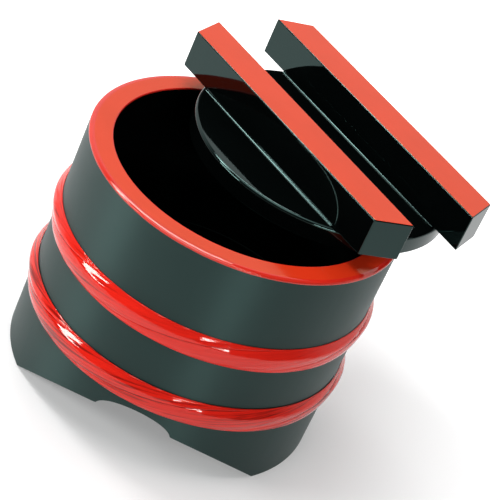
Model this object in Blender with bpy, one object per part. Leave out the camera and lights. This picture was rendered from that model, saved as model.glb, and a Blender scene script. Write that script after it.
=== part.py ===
"""Udon serving tub: a lacquered coopered tub on a two-footed skirt, with an inset two-bar lid.

The tub's axis is upright, its feet stand on Z = 0 and the arch in its skirt faces -Y.
The lid has been lifted out of the mouth and laid across the rim, towards +X and +Y.
The whole, lid included, is placed with the middle of its footprint at X = Y = 0.
Lengths are in metres.
"""
import math

import bmesh
import bpy
from mathutils import Matrix

# Tub wall
RIM_RADIUS = 0.1175
WALL = 0.0174
TUB_HEIGHT = 0.186
STAVE_COUNT = 16
RIM_OUTER_ROUND = 0.002
RIM_INNER_ROUND = 0.001

# Bottom board, held in a groove round the staves, a little above the notch
BOTTOM_ABOVE_NOTCH = 0.0074
BOTTOM_THICKNESS = 0.014
GROOVE_DEPTH = 0.004
BOTTOM_PLANKS = 3

# Wide arch cut through the skirt at the front and the back, which leaves two feet
ARCH_END_INSET = 0.0241
ARCH_RISE = 0.0362

# Oval notch at the crown of the arch
NOTCH_WIDTH = 0.0586
NOTCH_HEIGHT = 0.014
NOTCH_ABOVE_ARCH = 0.0084

# Hoops, each of strands twisted together into one rounded band
HOOP_HEIGHT = 0.0208
HOOP_THICKNESS = 0.0045
HOOP_STRANDS = 3
HOOP_TWISTS = 2
UPPER_HOOP_BELOW_RIM = 0.0697
LOWER_HOOP_ABOVE_BOTTOM = 0.0017

# Shape of a strand's wedge section, as shares of the hoop's half height and half thickness
STRAND_HEART = 0.15
STRAND_GROOVE_WIDTH = 0.10
STRAND_GROOVE_DEPTH = 0.06

# Lid board, a loose fit in the mouth
LID_THICKNESS = 0.0145
LID_CLEARANCE = 0.0005
LID_EDGE_ROUND = 0.0023
LID_PLANKS = 3

# Lid bars, whose ends lie on the mouth when the lid is in and reach past the wall
BAR_WIDTH = 0.0282
BAR_HEIGHT = 0.0297
BAR_SPACING = 0.0859
BAR_OVERHANG = 0.0051
BAR_EDGE = 0.0008

# Where the lid lies on the rim
LID_SHIFT_X = 0.0418
LID_SHIFT_Y = 0.0514
LID_TURN = math.radians(-38.8)

# Wooden pegs
PEG_RADIUS = 0.003
JOINT_PEG_LENGTH = 0.024
BOTTOM_PEG_INSET = 0.048
LID_PEG_INSET = 0.039
BAR_PEG_RISE = 0.014
BAR_PEG_DEPTH = 0.008

# Clearances
SEAT_GAP = 0.0003
PEG_CLEARANCE = 0.0003
CUT_MARGIN = 0.01

# Facets
STAVE_FACETS = 5
ROUND_FACETS = 3
DISC_FACETS = 80
ARCH_FACETS = 36
NOTCH_FACETS = 32
PEG_FACETS = 12
STRAND_FACETS = 4
STEPS_PER_TWIST = 40
SMOOTH_ANGLE = math.radians(35)

# Values that follow
MOUTH_RADIUS = RIM_RADIUS - WALL
GROOVE_RADIUS = MOUTH_RADIUS + GROOVE_DEPTH
BOTTOM_RADIUS = GROOVE_RADIUS - SEAT_GAP
ARCH_HALF_SPAN = RIM_RADIUS - ARCH_END_INSET
NOTCH_CROWN = ARCH_RISE + NOTCH_ABOVE_ARCH
BOTTOM_HEIGHT = NOTCH_CROWN + BOTTOM_ABOVE_NOTCH
GROOVE_LOW = BOTTOM_HEIGHT - SEAT_GAP
GROOVE_HIGH = BOTTOM_HEIGHT + BOTTOM_THICKNESS + SEAT_GAP
LID_RADIUS = MOUTH_RADIUS - LID_CLEARANCE
BAR_END_RADIUS = RIM_RADIUS + BAR_OVERHANG
BAR_BASE = LID_THICKNESS + SEAT_GAP
HOOP_LEVELS = {
    "upper": TUB_HEIGHT - UPPER_HOOP_BELOW_RIM,
    "lower": BOTTOM_HEIGHT + BOTTOM_THICKNESS / 2 + LOWER_HOOP_ABOVE_BOTTOM,
}
QUARTER = math.pi / 2


def clear_scene():
    for thing in list(bpy.data.objects):
        bpy.data.objects.remove(thing, do_unlink=True)


def material(name, colour, roughness):
    made = bpy.data.materials.new(name)
    made.use_nodes = True
    shader = made.node_tree.nodes["Principled BSDF"]
    shader.inputs["Base Color"].default_value = (*colour, 1.0)
    shader.inputs["Roughness"].default_value = roughness
    shader.inputs["Metallic"].default_value = 0.0
    made.diffuse_color = (*colour, 1.0)
    return made


def new_empty(name, parent=None):
    made = bpy.data.objects.new(name, None)
    made.parent = parent
    bpy.context.scene.collection.objects.link(made)
    return made


def new_object(name, bm, materials, parent):
    """Close a bmesh into a named, smooth-shaded object with its faces pointing out."""
    bmesh.ops.recalc_face_normals(bm, faces=bm.faces[:])
    mesh = bpy.data.meshes.new(name)
    bm.to_mesh(mesh)
    bm.free()
    mesh.shade_smooth()
    mesh.set_sharp_from_angle(angle=SMOOTH_ANGLE)
    for each in materials:
        mesh.materials.append(each)
    made = bpy.data.objects.new(name, mesh)
    made.parent = parent
    bpy.context.scene.collection.objects.link(made)
    return made


def as_cutter(thing):
    thing.hide_render = True
    thing.display_type = "WIRE"
    return thing


def cut(thing, cutter):
    boolean = thing.modifiers.new(cutter.name, "BOOLEAN")
    boolean.operation = "DIFFERENCE"
    boolean.solver = "EXACT"
    boolean.object = cutter


def paint_upward_faces(thing, lowest, slot):
    """Give the second colour to the faces that look up at or above a height."""
    for face in thing.data.polygons:
        if face.normal.z > 0.05 and face.center.z > lowest:
            face.material_index = slot


def quarter_round(centre_r, centre_z, radius, start):
    """Points of a quarter turn in the (r, z) plane, anticlockwise from an angle."""
    points = []
    for step in range(ROUND_FACETS + 1):
        angle = start + QUARTER * step / ROUND_FACETS
        points.append((centre_r + radius * math.cos(angle), centre_z + radius * math.sin(angle)))
    return points


def skin_rings(bm, rings):
    """Join equal rings of vertices with quads, and close both ends."""
    count = len(rings[0])
    bm.faces.new(rings[0])
    bm.faces.new(rings[-1])
    for first, second in zip(rings, rings[1:]):
        for k in range(count):
            after = (k + 1) % count
            bm.faces.new((first[k], first[after], second[after], second[k]))


def stave_profile():
    outer = quarter_round(RIM_RADIUS - RIM_OUTER_ROUND, TUB_HEIGHT - RIM_OUTER_ROUND, RIM_OUTER_ROUND, 0)
    inner = quarter_round(MOUTH_RADIUS + RIM_INNER_ROUND, TUB_HEIGHT - RIM_INNER_ROUND,
                          RIM_INNER_ROUND, QUARTER)
    groove = [(MOUTH_RADIUS, GROOVE_HIGH), (GROOVE_RADIUS, GROOVE_HIGH),
              (GROOVE_RADIUS, GROOVE_LOW), (MOUTH_RADIUS, GROOVE_LOW)]
    return [(RIM_RADIUS, 0.0), *outer, *inner, *groove, (MOUTH_RADIUS, 0.0)]


def build_stave(name, middle, materials, parent):
    """One stave: the wall's profile swept through its share of the circle."""
    share = 2 * math.pi / STAVE_COUNT - SEAT_GAP / MOUTH_RADIUS
    bm = bmesh.new()
    rings = []
    for step in range(STAVE_FACETS + 1):
        turn = middle + share * (step / STAVE_FACETS - 0.5)
        rings.append([bm.verts.new((r * math.cos(turn), r * math.sin(turn), z)) for r, z in stave_profile()])
    skin_rings(bm, rings)
    stave = new_object(name, bm, materials, parent)
    paint_upward_faces(stave, TUB_HEIGHT - RIM_OUTER_ROUND, 1)
    return stave


def arch_outline():
    """The arch seen from the front: a flat oval as wide as the tub, cut off at the floor."""
    drop = ARCH_RISE / (1 - math.sqrt(1 - (ARCH_HALF_SPAN / RIM_RADIUS) ** 2))
    points = [(ARCH_HALF_SPAN, -CUT_MARGIN)]
    for step in range(ARCH_FACETS + 1):
        x = ARCH_HALF_SPAN * (1 - 2 * step / ARCH_FACETS)
        points.append((x, ARCH_RISE - drop * (1 - math.sqrt(1 - (x / RIM_RADIUS) ** 2))))
    points.append((-ARCH_HALF_SPAN, -CUT_MARGIN))
    return points


def notch_outline():
    """The notch seen from the front: an oval whose lower half lies in the open arch."""
    points = []
    for step in range(NOTCH_FACETS):
        angle = 2 * math.pi * step / NOTCH_FACETS
        x = NOTCH_WIDTH / 2 * math.cos(angle)
        points.append((x, NOTCH_CROWN - NOTCH_HEIGHT * (1 - math.sin(angle))))
    return points


def build_skirt_cutter(name, outline, parent):
    reach = RIM_RADIUS + CUT_MARGIN
    bm = bmesh.new()
    rings = [[bm.verts.new((x, y, z)) for x, z in outline] for y in (-reach, reach)]
    skin_rings(bm, rings)
    return as_cutter(new_object(name, bm, [], parent))


def build_wall(materials, parent):
    cutters = [(build_skirt_cutter("arch_cutter", arch_outline(), parent), ARCH_HALF_SPAN),
               (build_skirt_cutter("notch_cutter", notch_outline(), parent), NOTCH_WIDTH / 2)]
    pitch = 2 * math.pi / STAVE_COUNT
    for number in range(STAVE_COUNT):
        middle = -QUARTER + number * pitch
        stave = build_stave(f"stave_{number + 1:02d}", middle, materials, parent)
        from_front = math.asin(abs(math.cos(middle)))
        nearest_x = MOUTH_RADIUS * math.sin(max(from_front - pitch / 2, 0.0))
        for cutter, half_width in cutters:
            if nearest_x < half_width:
                cut(stave, cutter)


def turned_disc(radius, low, high, edge_round):
    """A round board, with a rounded upper edge if it has one."""
    bm = bmesh.new()
    profile = [(radius, low), (radius, high)]
    if edge_round:
        profile[1:] = quarter_round(radius - edge_round, high - edge_round, edge_round, 0)
    rings = []
    for r, z in profile:
        ring = []
        for step in range(DISC_FACETS):
            turn = 2 * math.pi * (step + 0.5) / DISC_FACETS
            ring.append(bm.verts.new((r * math.cos(turn), r * math.sin(turn), z)))
        rings.append(ring)
    skin_rings(bm, rings)
    return bm


def slice_board(bm, x, side):
    """Keep the part of a board on one side of a cut across X, and close the cut."""
    geometry = bm.verts[:] + bm.edges[:] + bm.faces[:]
    result = bmesh.ops.bisect_plane(bm, geom=geometry, plane_co=(x, 0, 0), plane_no=(side, 0, 0),
                                    clear_inner=True)
    edges = [each for each in result["geom_cut"] if isinstance(each, bmesh.types.BMEdge)]
    bmesh.ops.edgenet_fill(bm, edges=edges)


def build_planked_disc(prefix, sides, radius, low, high, edge_round, materials, parent):
    """A round board made of planks with their joints across X."""
    width = 2 * radius / len(sides)
    planks = []
    for number, side in enumerate(sides):
        left = -radius + number * width
        bm = turned_disc(radius, low, high, edge_round)
        if number > 0:
            slice_board(bm, left + SEAT_GAP / 2, 1)
        if number < len(sides) - 1:
            slice_board(bm, left + width - SEAT_GAP / 2, -1)
        planks.append(new_object(f"{prefix}_{side}", bm, materials, parent))
    return planks


def add_peg(bm, place, turn, radius, length):
    """A round peg whose middle is at a place, its axis along the turned Z axis."""
    matrix = Matrix.Translation(place) @ turn
    bmesh.ops.create_cone(bm, cap_ends=True, segments=PEG_FACETS, radius1=radius, radius2=radius,
                          depth=length, matrix=matrix)


def build_pegs(name, places, turn, length, materials, parent, bored):
    """A set of pegs, with the holes that they fill cut into the pieces they join."""
    holes = bmesh.new()
    for number, place in enumerate(places):
        bm = bmesh.new()
        add_peg(bm, place, turn, PEG_RADIUS, length)
        new_object(f"{name}_{number + 1}", bm, materials, parent)
        add_peg(holes, place, turn, PEG_RADIUS + PEG_CLEARANCE, length + 2 * PEG_CLEARANCE)
    cutter = as_cutter(new_object(f"{name}_holes", holes, [], parent))
    for piece in bored:
        cut(piece, cutter)


def joint_peg_places(radius, planks, inset, height):
    """Two pegs across each joint of a planked board, set in from the joint's ends at mid thickness."""
    width = 2 * radius / planks
    places = []
    for number in range(1, planks):
        x = -radius + width * number
        y = math.sqrt(radius ** 2 - x ** 2) - inset
        places += [(x, -y, height), (x, y, height)]
    return places


def plank_sides(count):
    if count == 3:
        return ["left", "middle", "right"]
    return [f"{number + 1}" for number in range(count)]


def build_bottom(materials, wood, parent):
    high = BOTTOM_HEIGHT + BOTTOM_THICKNESS
    planks = build_planked_disc("bottom_plank", plank_sides(BOTTOM_PLANKS), BOTTOM_RADIUS, BOTTOM_HEIGHT,
                                high, 0.0, materials, parent)
    places = joint_peg_places(BOTTOM_RADIUS, BOTTOM_PLANKS, BOTTOM_PEG_INSET, (BOTTOM_HEIGHT + high) / 2)
    across = Matrix.Rotation(QUARTER, 4, "Y")
    build_pegs("bottom_plank_peg", places, across, JOINT_PEG_LENGTH, [wood], parent, planks)


def strand_section(twist):
    """A wedge of the hoop's oval section: its heart first, then its rounded outer side."""
    points = [(STRAND_HEART * math.cos(twist), STRAND_HEART * math.sin(twist))]
    width = 2 * math.pi / HOOP_STRANDS - STRAND_GROOVE_WIDTH
    for step in range(STRAND_FACETS + 1):
        across = 2 * step / STRAND_FACETS - 1
        angle = twist + across * width / 2
        reach = 1 - STRAND_GROOVE_DEPTH * across ** 4
        points.append((reach * math.cos(angle), reach * math.sin(angle)))
    return points


def skin_strand(bm, rings):
    """Join the twisted sections, with both flanks of a strand split the same way from its heart."""
    last = len(rings[0]) - 1
    for first, second in zip(rings, rings[1:] + rings[:1]):
        for k in range(last):
            bm.faces.new((first[k], first[k + 1], second[k + 1]))
            bm.faces.new((first[k], second[k + 1], second[k]))
        bm.faces.new((first[last], first[0], second[last]))
        bm.faces.new((second[last], first[0], second[0]))


def build_strand(name, height, phase, materials, parent):
    """One strand of a hoop: its wedge section turns as it goes round the tub."""
    steps = HOOP_TWISTS * STEPS_PER_TWIST
    half_deep = HOOP_THICKNESS / 2
    middle = (RIM_RADIUS + SEAT_GAP) / math.cos(math.pi / steps) + half_deep
    bm = bmesh.new()
    rings = []
    for step in range(steps):
        turn = 2 * math.pi * step / steps
        ring = []
        for out, up in strand_section(HOOP_TWISTS * turn + phase):
            r = middle + out * half_deep
            z = height + up * HOOP_HEIGHT / 2
            ring.append(bm.verts.new((r * math.cos(turn), r * math.sin(turn), z)))
        rings.append(ring)
    skin_strand(bm, rings)
    return new_object(name, bm, materials, parent)


def build_hoops(materials, parent):
    for level, height in HOOP_LEVELS.items():
        for number in range(HOOP_STRANDS):
            phase = 2 * math.pi * number / HOOP_STRANDS
            build_strand(f"{level}_hoop_strand_{number + 1}", height, phase, materials, parent)


def build_bar(name, side, materials, parent):
    """A bar along X with its ends cut to follow the tub's round, on one side of the lid's middle."""
    near = BAR_SPACING / 2 - BAR_WIDTH / 2
    far = near + BAR_WIDTH
    near_half = math.sqrt(BAR_END_RADIUS ** 2 - near ** 2)
    far_half = math.sqrt(BAR_END_RADIUS ** 2 - far ** 2)
    outline = [(-near_half, near), (near_half, near), (far_half, far), (-far_half, far)]
    bm = bmesh.new()
    rings = []
    for z in (BAR_BASE, BAR_BASE + BAR_HEIGHT):
        rings.append([bm.verts.new((x, side * y, z)) for x, y in outline])
    skin_rings(bm, rings)
    bar = new_object(name, bm, materials, parent)
    paint_upward_faces(bar, BAR_BASE, 1)
    bevel = bar.modifiers.new("eased_edges", "BEVEL")
    bevel.width = BAR_EDGE
    bevel.segments = 2
    return bar


def bar_peg_places():
    """One peg through each bar into the middle of each lid plank under it."""
    offset = BAR_SPACING / 2
    board_half = math.sqrt(LID_RADIUS ** 2 - offset ** 2)
    width = 2 * LID_RADIUS / LID_PLANKS
    height = LID_THICKNESS + (BAR_PEG_RISE - BAR_PEG_DEPTH) / 2
    places = []
    for number in range(LID_PLANKS):
        low = max(-LID_RADIUS + number * width, -board_half)
        high = min(-LID_RADIUS + (number + 1) * width, board_half)
        places += [((low + high) / 2, side * offset, height) for side in (-1, 1)]
    return places


def build_lid(black_and_red, wood, parent):
    seat = new_empty("lid_seat", parent)
    seat.location = (LID_SHIFT_X, LID_SHIFT_Y, TUB_HEIGHT + SEAT_GAP)
    seat.rotation_euler = (0, 0, LID_TURN)
    planks = build_planked_disc("lid_plank", plank_sides(LID_PLANKS), LID_RADIUS, 0.0, LID_THICKNESS,
                                LID_EDGE_ROUND, black_and_red[:1], seat)
    bars = [build_bar("lid_bar_front", -1, black_and_red, seat),
            build_bar("lid_bar_rear", 1, black_and_red, seat)]
    across = Matrix.Rotation(QUARTER, 4, "Y")
    joints = joint_peg_places(LID_RADIUS, LID_PLANKS, LID_PEG_INSET, LID_THICKNESS / 2)
    build_pegs("lid_plank_peg", joints, across, JOINT_PEG_LENGTH, [wood], seat, planks)
    build_pegs("lid_bar_peg", bar_peg_places(), Matrix.Identity(4), BAR_PEG_RISE + BAR_PEG_DEPTH, [wood],
               seat, planks + bars)


def centre_footprint(axis):
    """Move the tub's axis so that the middle of the whole footprint is at X = Y = 0."""
    graph = bpy.context.evaluated_depsgraph_get()
    points = []
    for thing in bpy.data.objects:
        if thing.type == "MESH" and not thing.hide_render:
            shape = thing.evaluated_get(graph)
            points += [shape.matrix_world @ vertex.co for vertex in shape.data.vertices]
    for direction in (0, 1):
        reach = [point[direction] for point in points]
        axis.location[direction] = -(min(reach) + max(reach)) / 2


def main():
    clear_scene()
    axis = new_empty("tub_axis")
    black = material("black_lacquer", (0.012, 0.014, 0.014), 0.12)
    red = material("vermilion_lacquer", (0.80, 0.105, 0.045), 0.3)
    hoop_red = material("hoop_red_lacquer", (0.62, 0.055, 0.035), 0.15)
    wood = material("bare_wood", (0.55, 0.38, 0.22), 0.6)
    build_wall([black, red], axis)
    build_bottom([black], wood, axis)
    build_hoops([hoop_red], axis)
    build_lid([black, red], wood, axis)
    centre_footprint(axis)


main()
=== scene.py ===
import math

import bmesh
import bpy
from mathutils import Matrix, Vector, noise


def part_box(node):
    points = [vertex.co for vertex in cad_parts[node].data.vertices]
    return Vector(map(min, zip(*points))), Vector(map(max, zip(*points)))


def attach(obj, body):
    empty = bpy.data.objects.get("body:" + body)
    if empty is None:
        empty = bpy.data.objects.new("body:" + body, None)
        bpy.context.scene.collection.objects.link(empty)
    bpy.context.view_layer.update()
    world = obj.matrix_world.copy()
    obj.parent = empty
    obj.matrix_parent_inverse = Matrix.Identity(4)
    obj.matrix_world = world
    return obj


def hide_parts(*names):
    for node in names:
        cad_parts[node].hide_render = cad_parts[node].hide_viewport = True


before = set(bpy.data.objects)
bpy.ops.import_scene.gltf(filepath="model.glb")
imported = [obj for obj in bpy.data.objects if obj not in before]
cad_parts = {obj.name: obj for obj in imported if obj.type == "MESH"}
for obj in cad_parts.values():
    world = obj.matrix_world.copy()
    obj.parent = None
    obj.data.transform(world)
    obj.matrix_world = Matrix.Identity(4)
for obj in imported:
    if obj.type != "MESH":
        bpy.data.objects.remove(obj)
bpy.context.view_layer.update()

# Sizes and places read from the frame, in metres
TUB_AXIS_X = (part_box("stave_13")[0].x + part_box("stave_05")[1].x) / 2
TUB_AXIS_Y = (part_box("stave_01")[0].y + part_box("stave_09")[1].y) / 2
RIM_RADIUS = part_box("stave_05")[1].x - TUB_AXIS_X
TUB_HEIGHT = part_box("stave_05")[1].z
BOARD_LOW, BOARD_HIGH = (corner.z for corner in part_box("bottom_plank_middle"))
LID_LOW, LID_HIGH = (corner.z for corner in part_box("lid_plank_middle"))
LID_MIDDLE = sum(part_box("lid_plank_middle"), Vector()) / 2
BAR_LOW, BAR_HIGH = (corner.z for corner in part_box("lid_bar_front"))

# Sizes that the frame's boxes don't show
WALL = 0.0174
MOUTH_RADIUS = RIM_RADIUS - WALL
ARCH_SPAN = 0.1868
ARCH_RISE = 0.0362
NOTCH_WIDTH = 0.0586
NOTCH_HEIGHT = 0.014
NOTCH_CROWN = 0.0446
HOOP_STRANDS = 3
HOOP_TWISTS = 2
LID_RADIUS = 0.0996
LID_TURN = math.radians(-38.8)
BAR_WIDTH = 0.0282
BAR_SPACING = 0.0859
BAR_END_RADIUS = 0.1226

QUARTER = math.pi / 2
TURN = 2 * math.pi
TUB_PLACE = Matrix.Translation((TUB_AXIS_X, TUB_AXIS_Y, 0))
LID_PLACE = Matrix.Translation((LID_MIDDLE.x, LID_MIDDLE.y, 0)) @ Matrix.Rotation(LID_TURN, 4, "Z")


# Camera

# The photograph's camera, seen from the tub's axis, and the way it is turned
FOCAL_PIXELS = 2065.6
IMAGE_PIXELS = 500
SENSOR_MM = 36.0
CAMERA_AZIMUTH = math.radians(-88.3)
CAMERA_BACK = 1.2463
CAMERA_ABOVE_RIM = 0.7357
CAMERA_PAN = math.radians(-0.6428)
CAMERA_TILT = math.radians(32.4717)
CAMERA_ROLL = math.radians(24.9649)


def build_camera():
    """A camera that looks along +Y, panned, tilted down and rolled."""
    pan, tilt, roll = CAMERA_PAN, CAMERA_TILT, CAMERA_ROLL
    forward = Vector((math.sin(pan) * math.cos(tilt), math.cos(pan) * math.cos(tilt), -math.sin(tilt)))
    level_right = Vector((math.cos(pan), -math.sin(pan), 0))
    level_up = level_right.cross(forward)
    right = math.cos(roll) * level_right + math.sin(roll) * level_up
    up = -math.sin(roll) * level_right + math.cos(roll) * level_up
    data = bpy.data.cameras.new("camera")
    data.sensor_fit = "HORIZONTAL"
    data.sensor_width = SENSOR_MM
    data.lens = FOCAL_PIXELS / IMAGE_PIXELS * SENSOR_MM
    camera = bpy.data.objects.new("camera", data)
    turn = Matrix((right, up, -forward)).transposed().to_4x4()
    stand = polar(CAMERA_BACK, CAMERA_AZIMUTH, TUB_HEIGHT + CAMERA_ABOVE_RIM)
    camera.matrix_world = TUB_PLACE @ Matrix.Translation(stand) @ turn
    bpy.context.scene.collection.objects.link(camera)
    bpy.context.scene.camera = camera


# Node helpers

TONE_STOPS = (0.3, 0.7)


class Nodes:
    """A short way to add nodes to a tree and link them."""

    def __init__(self, tree):
        self.tree = tree
        tree.nodes.clear()

    def add(self, kind, values=None, **settings):
        node = self.tree.nodes.new(kind)
        for name, value in settings.items():
            setattr(node, name, value)
        for name, value in (values or {}).items():
            node.inputs[name].default_value = value
        return node

    def link(self, source, target):
        self.tree.links.new(source, target)

    def ramp(self, source, stops):
        node = self.add("ShaderNodeValToRGB")
        elements = node.color_ramp.elements
        while len(elements) < len(stops):
            elements.new(0.5)
        for element, (place, colour) in zip(elements, stops):
            element.position = place
            element.color = (*colour, 1.0)
        self.link(source, node.inputs["Fac"])
        return node.outputs["Color"]

    def tones(self, source, colours):
        """Two shades of a colour, mixed by a noise."""
        return self.ramp(source, list(zip(TONE_STOPS, colours)))

    def spread(self, source, low, high):
        """Map a 0 to 1 value onto a range."""
        node = self.add("ShaderNodeMapRange", {"To Min": low, "To Max": high})
        self.link(source, node.inputs["Value"])
        return node.outputs["Result"]

    def ease(self, source, span):
        """Go smoothly from 0 to 1 across a span of a value."""
        settings = {"From Min": span[0], "From Max": span[1]}
        node = self.add("ShaderNodeMapRange", settings, interpolation_type="SMOOTHSTEP")
        self.link(source, node.inputs["Value"])
        return node.outputs["Result"]

    def noise(self, coordinates, scale, detail):
        node = self.add("ShaderNodeTexNoise", {"Scale": scale, "Detail": detail})
        self.link(coordinates, node.inputs["Vector"])
        return node.outputs["Fac"]

    def streaks(self, coordinates, scales, detail):
        """A noise drawn out along the axes that have the smaller scales."""
        mapping = self.add("ShaderNodeMapping", {"Scale": scales})
        self.link(coordinates, mapping.inputs["Vector"])
        return self.noise(mapping.outputs["Vector"], scale=1.0, detail=detail)

    def bump(self, height, strength, distance):
        node = self.add("ShaderNodeBump", {"Strength": strength, "Distance": distance})
        self.link(height, node.inputs["Height"])
        return node.outputs["Normal"]


def new_material(name):
    material = bpy.data.materials.new(name)
    material.use_nodes = True
    return material, Nodes(material.node_tree)


def finish_material(nodes, shader):
    output = nodes.add("ShaderNodeOutputMaterial")
    nodes.link(shader.outputs[0], output.inputs["Surface"])


# Materials

BLACKS = ((0.0007, 0.0011, 0.0011), (0.0013, 0.0019, 0.0019))
BLACK_SHEEN = (0.55, 1.0, 0.93, 1.0)
WIPED_UPRIGHT = 0.25
RIM_REDS = ((0.57, 0.028, 0.006), (0.62, 0.031, 0.008))
RIM_SHEEN = (0.85, 0.95, 0.35, 1.0)
EDGE_REDS = ((0.57, 0.017, 0.009), (0.62, 0.020, 0.010))
EDGE_SHEEN = (1.0, 1.0, 0.9, 1.0)
HOOP_DARK_FIBRE = (0.26, 0.006, 0.003)
HOOP_RED = (0.69, 0.013, 0.006)
HOOP_BRIGHT_RED = (0.80, 0.016, 0.007)
HOOP_SHEEN = (1.0, 0.96, 0.88, 1.0)
HOOP_FIBRE_BLEND = 0.11
HOOP_BRIGHT_STOP = 0.66
WOODS = ((0.42, 0.27, 0.14), (0.58, 0.41, 0.24))


def black_lacquer(name, ior, polish, wiped=0.0):
    """Black lacquer polished by hand: a faint swell, uneven polish, and highlights stretched by wiping."""
    material, nodes = new_material(name)
    place = nodes.add("ShaderNodeTexCoord").outputs["Object"]
    values = {"IOR": ior, "Specular Tint": BLACK_SHEEN}
    values.update({"Anisotropic": wiped, "Anisotropic Rotation": WIPED_UPRIGHT})
    shader = nodes.add("ShaderNodeBsdfPrincipled", values)
    cloud = nodes.noise(place, scale=14.0, detail=3.0)
    nodes.link(nodes.tones(cloud, BLACKS), shader.inputs["Base Color"])
    rubbed = nodes.noise(place, scale=60.0, detail=5.0)
    nodes.link(nodes.spread(rubbed, *polish), shader.inputs["Roughness"])
    swell = nodes.noise(place, scale=22.0, detail=1.0)
    nodes.link(nodes.bump(swell, strength=0.035, distance=0.004), shader.inputs["Normal"])
    around = nodes.add("ShaderNodeTangent", direction_type="RADIAL", axis="Z")
    nodes.link(around.outputs["Tangent"], shader.inputs["Tangent"])
    finish_material(nodes, shader)
    return material


def vermilion_lacquer(name, reds, ior, sheen, polish):
    """Vermilion lacquer, brushed on: slightly uneven in depth of colour and in polish."""
    material, nodes = new_material(name)
    place = nodes.add("ShaderNodeTexCoord").outputs["Object"]
    shader = nodes.add("ShaderNodeBsdfPrincipled", {"IOR": ior, "Specular Tint": sheen})
    cloud = nodes.noise(place, scale=30.0, detail=4.0)
    nodes.link(nodes.tones(cloud, reds), shader.inputs["Base Color"])
    rubbed = nodes.noise(place, scale=140.0, detail=4.0)
    nodes.link(nodes.spread(rubbed, *polish), shader.inputs["Roughness"])
    brushed = nodes.noise(place, scale=260.0, detail=2.0)
    nodes.link(nodes.bump(brushed, strength=0.03, distance=0.0006), shader.inputs["Normal"])
    finish_material(nodes, shader)
    return material


def hoop_lacquer(name, fibre_and_shade_share):
    """Thick glossy red lacquer over bamboo strands, with a share of darker fibres; where that share is
    larger it is partly painted shade.
    """
    material, nodes = new_material(name)
    along = nodes.add("ShaderNodeTexCoord").outputs["UV"]
    fibres = nodes.streaks(along, scales=(18.0, 420.0, 1.0), detail=4.0)
    ridges = nodes.streaks(along, scales=(20.0, 330.0, 1.0), detail=0.8)
    shader = nodes.add("ShaderNodeBsdfPrincipled", {"IOR": 1.45, "Specular Tint": HOOP_SHEEN})
    # The dark end of this ramp is real dark fibres, and for the lower hoop also painted shade
    stops = [(fibre_and_shade_share, HOOP_DARK_FIBRE), (fibre_and_shade_share + HOOP_FIBRE_BLEND, HOOP_RED),
             (HOOP_BRIGHT_STOP, HOOP_BRIGHT_RED)]
    nodes.link(nodes.ramp(fibres, stops), shader.inputs["Base Color"])
    nodes.link(nodes.spread(fibres, 0.08, 0.03), shader.inputs["Roughness"])
    nodes.link(nodes.bump(ridges, strength=0.7, distance=0.0006), shader.inputs["Normal"])
    finish_material(nodes, shader)
    return material


def peg_wood():
    """Plain straight-grained wood of the hidden pegs."""
    material, nodes = new_material("peg_wood")
    place = nodes.add("ShaderNodeTexCoord").outputs["Object"]
    grain = nodes.streaks(place, scales=(900.0, 900.0, 60.0), detail=4.0)
    shader = nodes.add("ShaderNodeBsdfPrincipled", {"Roughness": 0.6})
    nodes.link(nodes.tones(grain, WOODS), shader.inputs["Base Color"])
    nodes.link(nodes.bump(grain, strength=0.2, distance=0.0003), shader.inputs["Normal"])
    finish_material(nodes, shader)
    return material


# Mesh helpers

SMOOTH_DEGREES = 35


def new_piece(name, bm, materials, body, replaced=(), place=None, smooth=SMOOTH_DEGREES):
    """Turn a bmesh into a piece that rides on a body and stands for CAD nodes."""
    if place is not None:
        bmesh.ops.transform(bm, matrix=place, verts=bm.verts[:])
    bmesh.ops.recalc_face_normals(bm, faces=bm.faces[:])
    mesh = bpy.data.meshes.new(name)
    bm.to_mesh(mesh)
    bm.free()
    mesh.shade_smooth()
    mesh.set_sharp_from_angle(angle=math.radians(smooth))
    for each in materials:
        mesh.materials.append(each)
    piece = bpy.data.objects.new(name, mesh)
    bpy.context.scene.collection.objects.link(piece)
    piece.modifiers.new("flat_faces", "WEIGHTED_NORMAL").keep_sharp = True
    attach(piece, body)
    if replaced:
        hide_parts(*replaced)
    return piece


def plank_names(start):
    """The CAD's planks of one board, without their pegs."""
    return [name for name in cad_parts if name.startswith(start) and "peg" not in name]


def arc(centre_r, centre_z, radius, start, end, steps):
    """Points of an arc in the (r, z) plane."""
    points = []
    for step in range(steps + 1):
        angle = start + (end - start) * step / steps
        points.append((centre_r + radius * math.cos(angle), centre_z + radius * math.sin(angle)))
    return points


def polar(r, turn, z):
    return (r * math.cos(turn), r * math.sin(turn), z)


def half_chord(radius, offset):
    """Half the length of a straight line across a circle, at an offset from its middle."""
    return math.sqrt(radius ** 2 - offset ** 2)


def quad_strip(bm, first, second, slot=0):
    """Join two equal closed rows of vertices with quads."""
    count = len(first)
    for k in range(count):
        after = (k + 1) % count
        face = bm.faces.new((first[k], first[after], second[after], second[k]))
        face.material_index = slot


def skin(bm, rows, slot=0):
    """Join closed rows of vertices, each to the next."""
    for first, second in zip(rows, rows[1:]):
        quad_strip(bm, first, second, slot)


def turned(profile, facets):
    """A closed turned body, from an (r, z) profile that starts and ends on the axis."""
    bm = bmesh.new()
    ends = [bm.verts.new((0, 0, profile[0][1])), bm.verts.new((0, 0, profile[-1][1]))]
    rings = []
    for r, z in profile[1:-1]:
        rings.append([bm.verts.new(polar(r, TURN * k / facets, z)) for k in range(facets)])
    skin(bm, rings)
    for end, ring in zip(ends, (rings[0], rings[-1])):
        for k in range(facets):
            bm.faces.new((end, ring[k], ring[(k + 1) % facets]))
    return bm


# Tub wall

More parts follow.
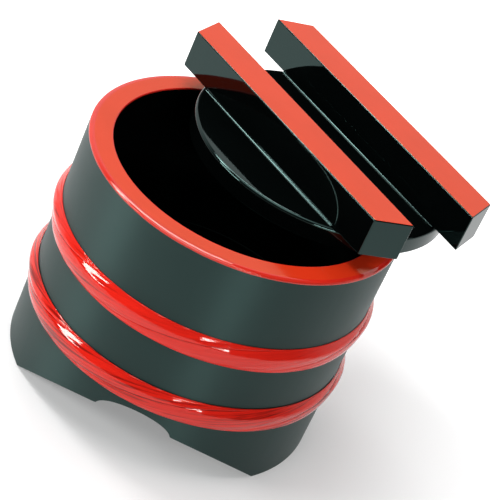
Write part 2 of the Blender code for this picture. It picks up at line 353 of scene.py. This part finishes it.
RIM_OUTER_ROUND = 0.0014
RIM_SHOULDER = 0.0036
RIM_INNER_ROUND = 0.001
FOOT_ROUND = 0.0008
PAINT_WRAP = 0.0021
PAINT_WAVER = 0.0002
PAINT_WAVES = 6
RING_ABOVE_NOTCH = 0.009
RING_HEIGHT = NOTCH_CROWN + RING_ABOVE_NOTCH
ARCH_STEPS = 24
NOTCH_STEPS = 36
FOOT_STEPS = 80
FOOT_ROUND_STEPS = 4
SKIRT_ROWS = 10
UPPER_ROWS = 8
RIM_STEPS = 18
RIM_INNER_STEPS = 6
WALL_SMOOTH_DEGREES = 50

# Places in the wall's list of materials
OUTSIDE, RIM_TOP, RIM_EDGE, INSIDE = range(4)


def arch_height(x):
    """Height of the wide arch: a flat oval as wide as the tub, cut off at the floor."""
    drop = ARCH_RISE / (1 - math.sqrt(1 - (ARCH_SPAN / 2 / RIM_RADIUS) ** 2))
    return ARCH_RISE - drop * (1 - math.sqrt(1 - (x / RIM_RADIUS) ** 2))


def notch_point(angle):
    return NOTCH_WIDTH / 2 * math.cos(angle), NOTCH_CROWN - NOTCH_HEIGHT * (1 - math.sin(angle))


def arch_path():
    """Half the skirt's lower edge as (x, z), from the crown of the notch out to the foot."""
    notch = [notch_point(QUARTER * (1 - k / NOTCH_STEPS)) for k in range(NOTCH_STEPS)]
    path = [(x, z) for x, z in notch if z > arch_height(x)]
    inner = path[-1][0]
    outer = ARCH_SPAN / 2
    for k in range(1, ARCH_STEPS + 1):
        x = inner + (outer - inner) * k / ARCH_STEPS
        path.append((x, arch_height(x)))
    return path


def foot_outline():
    """Lower edge of the wall all round, as (turn, height)."""
    right = arch_path()
    path = [(-x, z) for x, z in reversed(right[1:])] + right
    side = math.asin(ARCH_SPAN / 2 / RIM_RADIUS)
    sweep = 2 * QUARTER - 2 * side
    outline = []
    for middle in (-QUARTER, QUARTER):
        outline += [(middle + math.asin(x / RIM_RADIUS), max(z, 0.0)) for x, z in path]
        outline += [(middle + side + sweep * k / FOOT_STEPS, 0.0) for k in range(1, FOOT_STEPS)]
    return outline


def inset_outline(outline, inset):
    """The outline moved into the wall, away from the arch and the floor."""
    moved = []
    count = len(outline)
    for k, (turn, z) in enumerate(outline):
        before = outline[k - 1]
        after = outline[(k + 1) % count]
        along = math.remainder(after[0] - before[0], TURN) * RIM_RADIUS
        rise = after[1] - before[1]
        length = math.hypot(along, rise)
        moved.append((turn - rise / length * inset / RIM_RADIUS, z + along / length * inset))
    return moved


def blend(first, second, share):
    """Points part of the way from one line of (turn, height) points to another."""
    return [(a[0] + (b[0] - a[0]) * share, a[1] + (b[1] - a[1]) * share) for a, b in zip(first, second)]


def level(outline, height):
    """The outline's turns, all at one height."""
    return [(turn, height) for turn, _ in outline]


def wall_lines(outline, inset, top):
    """Lines of (turn, height) points from the lower edge of the wall to just below its top."""
    ring = level(outline, RING_HEIGHT)
    lines = [blend(inset, ring, row / SKIRT_ROWS) for row in range(SKIRT_ROWS)]
    rises = [RING_HEIGHT + (top - RING_HEIGHT) * row / UPPER_ROWS for row in range(UPPER_ROWS)]
    return lines + [level(outline, rise) for rise in rises]


def paint_line(outline):
    """The lower edge of the rim's paint, which wavers a little as a brush does."""
    line = []
    for turn, _ in outline:
        waver = noise.noise(polar(PAINT_WAVES, turn, 0.0))
        line.append((turn, TUB_HEIGHT - PAINT_WRAP + PAINT_WAVER * waver))
    return line


def rim_profile():
    """The rim as (r, z): a wide low shoulder outside, a flat top and a small round inside."""
    profile = [(RIM_RADIUS - RIM_SHOULDER * (1 - out), TUB_HEIGHT - RIM_OUTER_ROUND * (1 - up))
               for out, up in arc(0, 0, 1, 0, QUARTER, RIM_STEPS)]
    profile += arc(MOUTH_RADIUS + RIM_INNER_ROUND, TUB_HEIGHT - RIM_INNER_ROUND, RIM_INNER_ROUND,
                   QUARTER, 2 * QUARTER, RIM_INNER_STEPS)
    return profile


def foot_profile():
    """The wall's rounded lower edge from outside to inside, as (r, share of the inset)."""
    angles = [QUARTER * step / FOOT_ROUND_STEPS for step in range(1, FOOT_ROUND_STEPS + 1)]
    profile = [(RIM_RADIUS - FOOT_ROUND * (1 - math.cos(a)), 1 - math.sin(a)) for a in angles]
    profile += [(MOUTH_RADIUS + FOOT_ROUND * (1 - math.cos(a)), 1 - math.sin(a)) for a in reversed(angles)]
    return profile


def build_tub_wall(wiped_black, inside_black, red, red_edge):
    """The lacquered wall as one skin, with its painted rim and the arches in its skirt."""
    bm = bmesh.new()
    outline = foot_outline()
    inset = inset_outline(outline, FOOT_ROUND)

    def row(r, line):
        return [bm.verts.new(polar(r, turn, z)) for turn, z in line]

    outer_lines = wall_lines(outline, inset, TUB_HEIGHT - PAINT_WRAP) + [paint_line(outline)]
    outer = [row(RIM_RADIUS, line) for line in outer_lines]
    rim = [row(r, level(outline, z)) for r, z in rim_profile()]
    inner = [row(MOUTH_RADIUS, line) for line in wall_lines(outline, inset, TUB_HEIGHT - RIM_INNER_ROUND)]
    foot = [row(r, blend(outline, inset, share)) for r, share in foot_profile()]
    skin(bm, outer, OUTSIDE)
    skin(bm, outer[-1:] + rim[:RIM_STEPS + 1], RIM_EDGE)
    skin(bm, rim[RIM_STEPS:RIM_STEPS + 2], RIM_TOP)
    skin(bm, rim[RIM_STEPS + 1:], RIM_EDGE)
    skin(bm, inner + rim[-1:], INSIDE)
    skin(bm, outer[:1] + foot + inner[:1], OUTSIDE)
    staves = [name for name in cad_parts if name.startswith("stave_")]
    return new_piece("tub_wall", bm, [wiped_black, red, red_edge, inside_black], "tub",
                     staves, TUB_PLACE, WALL_SMOOTH_DEGREES)


# Bottom board

BOARD_COVE = 0.003
BOARD_COVE_STEPS = 8
BOARD_GAP = 0.0001
BOARD_FACETS = 192


def build_tub_floor(black):
    """The bottom board, with the lacquer drawn up in a small cove where it meets the wall."""
    radius = MOUTH_RADIUS - BOARD_GAP
    profile = [(0, BOARD_HIGH)]
    profile += arc(radius - BOARD_COVE, BOARD_HIGH + BOARD_COVE, BOARD_COVE, -QUARTER, 0, BOARD_COVE_STEPS)
    profile += [(radius, BOARD_LOW), (0, BOARD_LOW)]
    return new_piece("tub_floor", turned(profile, BOARD_FACETS), [black], "tub",
                     plank_names("bottom_plank_"), TUB_PLACE)


# Hoops

# Each hoop's name, the gap behind it and its share of dark fibres; the lower hoop's larger share is partly
# real dark fibres and partly painted shade that darkens that hoop as a whole
HOOPS = (("upper", 0.0001, 0.29), ("lower", 0.0004, 0.38))
HOOP_FRONT = 0.0045
HOOP_BACK = 0.0002
HOOP_CREASE = 0.0010
FIBRE_GROOVE = 0.00025
HOOP_STEPS = 540
STRAND_STEPS = 32
STRAND_SMOOTH_DEGREES = 60

# Shape of the section, in shares of its half height, and the gap between strands, in radians
STRAND_HEART = 0.12
STRAND_GAP = 0.03
HOOP_CREST = 0.40
HOOP_CREST_ROUND = 0.10
HOOP_SIDE = 0.2

# Fibres across a strand, and how they sway and fade round the hoop
FIBRES = 4
FIBRE_SHARPNESS = 4
FIBRE_SWAY = 0.3
SWAY_WAVES = 3
FADE_WAVES = 5
FADE_SHIFT = Vector((0, 0, 7))


def strand_section(twist):
    """A strand's wedge of the hoop's round section, as (out, up, across) in shares, its heart first."""
    points = [(STRAND_HEART * math.cos(twist), STRAND_HEART * math.sin(twist), 0.0)]
    width = TURN / HOOP_STRANDS - STRAND_GAP
    for step in range(STRAND_STEPS + 1):
        across = 2 * step / STRAND_STEPS - 1
        angle = twist + across * width / 2
        points.append((math.cos(angle), math.sin(angle), across))
    return points


def hoop_bulge(up):
    """Share of the hoop's thickness at a height from -1 to 1: a flat slope above a rounded crest."""
    above = (1 - up) / (1 - HOOP_CREST)
    below = math.sqrt((1 + up) / (1 + HOOP_CREST))
    mean = (above + below) / 2
    bulge = mean - math.hypot((above - below) / 2, HOOP_CREST_ROUND) + HOOP_CREST_ROUND
    return max(bulge, 0.0)


def crease_depth(across, turn, number):
    """How far a strand lies below the hoop's smooth round: most at its sides, a little between fibres."""
    around = Vector((math.cos(turn), math.sin(turn), number))
    sway = FIBRE_SWAY * noise.noise(SWAY_WAVES * around)
    fade = max(noise.noise(FADE_WAVES * around + FADE_SHIFT), 0.0)
    fibre = 0.5 - 0.5 * math.cos(math.pi * FIBRES * (across + sway))
    return HOOP_CREASE * across ** 2 + FIBRE_GROOVE * fade * fibre ** FIBRE_SHARPNESS


def stand_off(out, fullness):
    """How far a point of the section stands off the wall: little at the back, its fullness in front."""
    back = HOOP_BACK * (1 + min(out, 0.0))
    front = min(max(out, 0.0) / HOOP_SIDE, 1.0)
    return back + front * fullness


def unroll(bm, uv_layer, places, number):
    """Give a strand UVs in metres, along and across it, that run on over the seam."""
    seam = TURN * RIM_RADIUS
    for face in bm.faces:
        along = [places[loop.vert][0] for loop in face.loops]
        wraps = max(along) - min(along) > seam / 2
        for loop in face.loops:
            u, v = places[loop.vert]
            if wraps and u < seam / 2:
                u += seam
            loop[uv_layer].uv = (u, v + number)


def build_strand(node, red, number, gap):
    """One strand in place of the CAD's: the same wedge, with a flat back and a full, creased front."""
    low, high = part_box(node)
    middle_height = (low.z + high.z) / 2
    half_high = (high.z - low.z) / 2
    phase = TURN * number / HOOP_STRANDS
    bm = bmesh.new()
    uv_layer = bm.loops.layers.uv.new("along")
    rings = []
    places = {}
    for step in range(HOOP_STEPS):
        turn = TURN * step / HOOP_STEPS
        ring = []
        for out, up, across in strand_section(HOOP_TWISTS * turn + phase):
            fullness = HOOP_FRONT
            if ring:
                fullness = hoop_bulge(up) * (HOOP_FRONT - crease_depth(across, turn, number))
            r = RIM_RADIUS + gap + stand_off(out, fullness)
            vert = bm.verts.new(polar(r, turn, middle_height + up * half_high))
            places[vert] = (turn * RIM_RADIUS, across * half_high)
            ring.append(vert)
        rings.append(ring)
    skin(bm, rings + rings[:1])
    unroll(bm, uv_layer, places, number)
    return new_piece(node + "_lacquered", bm, [red], "tub", [node], TUB_PLACE,
                     STRAND_SMOOTH_DEGREES)


def build_hoops():
    for level_name, gap, fibre_and_shade_share in HOOPS:
        red = hoop_lacquer(level_name + "_hoop_lacquer", fibre_and_shade_share)
        for number in range(HOOP_STRANDS):
            build_strand(f"{level_name}_hoop_strand_{number + 1}", red, number, gap)


# Lid

LID_UPPER_ROUND = 0.0023
LID_LOWER_ROUND = 0.0012
LID_UPPER_STEPS = 8
LID_LOWER_STEPS = 5
LID_CROWN_WIDTH = 0.015
LID_CROWN_DROP = 0.00018
LID_CROWN_STEPS = 8
LID_FACETS = 224
BAR_NEAR = BAR_SPACING / 2 - BAR_WIDTH / 2
BAR_FAR = BAR_NEAR + BAR_WIDTH
BAR_EDGE = 0.0009
BAR_EDGE_STEPS = 4
BAR_LEVEL_NORMAL = 0.95
COVE = 0.0016
COVE_BITE = 0.0004
COVE_LIFT = 0.00005
COVE_STEPS = 6


def build_lid_board(black):
    """The lid's round board, its top falling slightly towards the rounded edge."""
    edge = LID_RADIUS - LID_UPPER_ROUND
    profile = [(0, LID_LOW)]
    profile += arc(LID_RADIUS - LID_LOWER_ROUND, LID_LOW + LID_LOWER_ROUND, LID_LOWER_ROUND,
                   -QUARTER, 0, LID_LOWER_STEPS)
    profile += arc(edge, LID_HIGH - LID_CROWN_DROP - LID_UPPER_ROUND, LID_UPPER_ROUND,
                   0, QUARTER, LID_UPPER_STEPS)
    for step in range(1, LID_CROWN_STEPS + 1):
        share = step / LID_CROWN_STEPS
        profile.append((edge - LID_CROWN_WIDTH * share, LID_HIGH - LID_CROWN_DROP * (1 - share) ** 2))
    profile += [(0, LID_HIGH)]
    return new_piece("lid_board", turned(profile, LID_FACETS), [black], "lid",
                     plank_names("lid_plank_"), LID_PLACE)


def build_bar(name, side, black, red):
    """A bar across the lid, its ends cut to the line of a wider circle and its top painted."""
    near_half = half_chord(BAR_END_RADIUS, BAR_NEAR)
    far_half = half_chord(BAR_END_RADIUS, BAR_FAR)
    outline = [(-near_half, BAR_NEAR), (near_half, BAR_NEAR), (far_half, BAR_FAR), (-far_half, BAR_FAR)]
    bm = bmesh.new()
    rings = [[bm.verts.new((x, side * y, z)) for x, y in outline] for z in (BAR_LOW, BAR_HIGH)]
    skin(bm, rings)
    for ring in rings:
        bm.faces.new(ring)
    bmesh.ops.recalc_face_normals(bm, faces=bm.faces[:])
    bmesh.ops.bevel(bm, geom=bm.edges[:], offset=BAR_EDGE, segments=BAR_EDGE_STEPS, profile=0.5,
                    affect="EDGES")
    for face in bm.faces:
        if face.normal.z > BAR_LEVEL_NORMAL and face.calc_center_median().z > BAR_LOW + BAR_EDGE:
            face.material_index = 1
    return new_piece(name + "_lacquered", bm, [black, red], "lid", [name], LID_PLACE)


def build_lid_fillets(black):
    """Lacquer drawn up in a small cove where the sides of the bars stand on the board."""
    bm = bmesh.new()
    base = LID_HIGH + COVE_LIFT
    for foot, away in ((BAR_NEAR, -1), (BAR_FAR, 1)):
        half = half_chord(LID_RADIUS - LID_UPPER_ROUND, foot + COVE)
        section = [(foot - away * COVE_BITE, base)]
        for out, up in arc(COVE, COVE, COVE, -QUARTER, -2 * QUARTER, COVE_STEPS):
            section.append((foot + away * out, base + up))
        for side in (-1, 1):
            ends = [[bm.verts.new((x, side * y, z)) for y, z in section] for x in (-half, half)]
            skin(bm, ends)
            for end in ends:
                bm.faces.new(end)
    return new_piece("lid_bar_fillets", bm, [black], "lid", place=LID_PLACE)


def build_lid(black, red):
    build_lid_board(black)
    build_lid_fillets(black)
    build_bar("lid_bar_front", -1, black, red)
    build_bar("lid_bar_rear", 1, black, red)


# Pegs

def finish_pegs():
    """Give the CAD's hidden pegs a wood finish."""
    wood = peg_wood()
    for name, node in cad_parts.items():
        if "_peg_" in name:
            node.data.materials.clear()
            node.data.materials.append(wood)


# Stage

WHITE = (1.0, 1.0, 1.0, 1.0)
FLOOR_SHADE = (0.80, 0.80, 0.80, 1.0)
FLOOR_RADIUS = 4.0
FLOOR_FACETS = 96
FLOOR_LIFT = 0.20
FLOOR_FAR_LIFT = 0.75
FLOOR_FADE = (0.12, 0.5)
SWEEP_SIDE = (-0.2, 0.5)
SWEEP_TOP = (0.79, 0.60)
SWEEP_LIGHT = 0.95
ROOM_LIGHT = 0.10
LAMP_DISTANCE = 2.0

# Soft boxes: name, azimuth and elevation in degrees, width and height in metres, watts
LAMPS = (
    ("top_lamp", -135, 79, 1.40, 1.40, 17.0),
    ("back_lamp", 108, 57, 0.80, 0.30, 10.0),
    ("left_lamp", 165, 54, 0.44, 0.31, 12.0),
    ("front_left_lamp", -154, 22, 0.74, 0.26, 17.0),
    ("front_right_lamp", -64, 22, 0.56, 0.18, 10.0),
)


def floor_material():
    """Pale paper that keeps the shadow near the tub and grows white for the camera farther away."""
    material, nodes = new_material("pale_floor")
    paper = nodes.add("ShaderNodeBsdfDiffuse", {"Color": FLOOR_SHADE})
    lift = nodes.add("ShaderNodeEmission", {"Color": WHITE})
    path = nodes.add("ShaderNodeLightPath")
    reach = nodes.add("ShaderNodeVectorMath", operation="LENGTH")
    nodes.link(nodes.add("ShaderNodeTexCoord").outputs["Object"], reach.inputs[0])
    far = nodes.ease(reach.outputs["Value"], FLOOR_FADE)
    strength = nodes.add("ShaderNodeMath", operation="MULTIPLY_ADD")
    nodes.link(path.outputs["Is Camera Ray"], strength.inputs[0])
    nodes.link(nodes.spread(far, FLOOR_LIFT, FLOOR_FAR_LIFT), strength.inputs[1])
    nodes.link(nodes.spread(path.outputs["Is Glossy Ray"], 0.0, FLOOR_LIFT), strength.inputs[2])
    nodes.link(strength.outputs[0], lift.inputs["Strength"])
    shader = nodes.add("ShaderNodeAddShader")
    nodes.link(paper.outputs[0], shader.inputs[0])
    nodes.link(lift.outputs[0], shader.inputs[1])
    finish_material(nodes, shader)
    return material


def build_floor():
    bm = bmesh.new()
    bmesh.ops.create_circle(bm, cap_ends=True, segments=FLOOR_FACETS, radius=FLOOR_RADIUS)
    mesh = bpy.data.meshes.new("floor")
    bm.to_mesh(mesh)
    bm.free()
    mesh.materials.append(floor_material())
    floor = bpy.data.objects.new("floor", mesh)
    bpy.context.scene.collection.objects.link(floor)
    floor.location = (TUB_AXIS_X, TUB_AXIS_Y, 0.0)


def build_world():
    """A white sweep behind the tub and a dim room in front and above; the camera sees plain white."""
    world = bpy.data.worlds.new("studio")
    bpy.context.scene.world = world
    world.use_nodes = True
    nodes = Nodes(world.node_tree)
    direction = nodes.add("ShaderNodeTexCoord").outputs["Generated"]
    parts = nodes.add("ShaderNodeSeparateXYZ")
    nodes.link(direction, parts.inputs["Vector"])
    behind = nodes.ease(parts.outputs["Y"], SWEEP_SIDE)
    below_edge = nodes.ease(parts.outputs["Z"], SWEEP_TOP)
    sweep = nodes.add("ShaderNodeMath", operation="MULTIPLY")
    nodes.link(behind, sweep.inputs[0])
    nodes.link(below_edge, sweep.inputs[1])
    lit = nodes.add("ShaderNodeBackground", {"Color": WHITE})
    nodes.link(nodes.spread(sweep.outputs[0], ROOM_LIGHT, SWEEP_LIGHT), lit.inputs["Strength"])
    seen = nodes.add("ShaderNodeBackground", {"Color": WHITE})
    mix = nodes.add("ShaderNodeMixShader")
    nodes.link(nodes.add("ShaderNodeLightPath").outputs["Is Camera Ray"], mix.inputs["Fac"])
    nodes.link(lit.outputs[0], mix.inputs[1])
    nodes.link(seen.outputs[0], mix.inputs[2])
    output = nodes.add("ShaderNodeOutputWorld")
    nodes.link(mix.outputs[0], output.inputs["Surface"])


def build_lamp(name, azimuth, elevation, width, height, power):
    """A soft box that faces the tub."""
    data = bpy.data.lights.new(name, "AREA")
    data.shape = "RECTANGLE"
    data.size = width
    data.size_y = height
    data.energy = power
    lamp = bpy.data.objects.new(name, data)
    rise = math.radians(elevation)
    way = Vector(polar(math.cos(rise), math.radians(azimuth), math.sin(rise)))
    target = Vector((TUB_AXIS_X, TUB_AXIS_Y, TUB_HEIGHT / 2))
    turn = way.to_track_quat("Z", "Y").to_matrix().to_4x4()
    lamp.matrix_world = Matrix.Translation(target + way * LAMP_DISTANCE) @ turn
    bpy.context.scene.collection.objects.link(lamp)


def build_stage():
    build_floor()
    build_world()
    for lamp in LAMPS:
        build_lamp(*lamp)


def main():
    bpy.context.scene.view_settings.view_transform = "Standard"
    build_camera()
    build_stage()
    black = black_lacquer("black_lacquer_gloss", ior=1.49, polish=(0.025, 0.06))
    inside_black = black_lacquer("black_lacquer_inside", ior=1.5, polish=(0.16, 0.22))
    wiped_black = black_lacquer("black_lacquer_wiped", ior=1.65, polish=(0.44, 0.48), wiped=0.86)
    red = vermilion_lacquer("vermilion_lacquer_satin", RIM_REDS, ior=1.48, sheen=RIM_SHEEN,
                            polish=(0.10, 0.16))
    red_edge = vermilion_lacquer("vermilion_lacquer_edge", EDGE_REDS, ior=1.6, sheen=EDGE_SHEEN,
                                 polish=(0.03, 0.05))
    build_tub_wall(wiped_black, inside_black, red, red_edge)
    build_tub_floor(inside_black)
    build_hoops()
    build_lid(black, red)
    finish_pegs()


main()
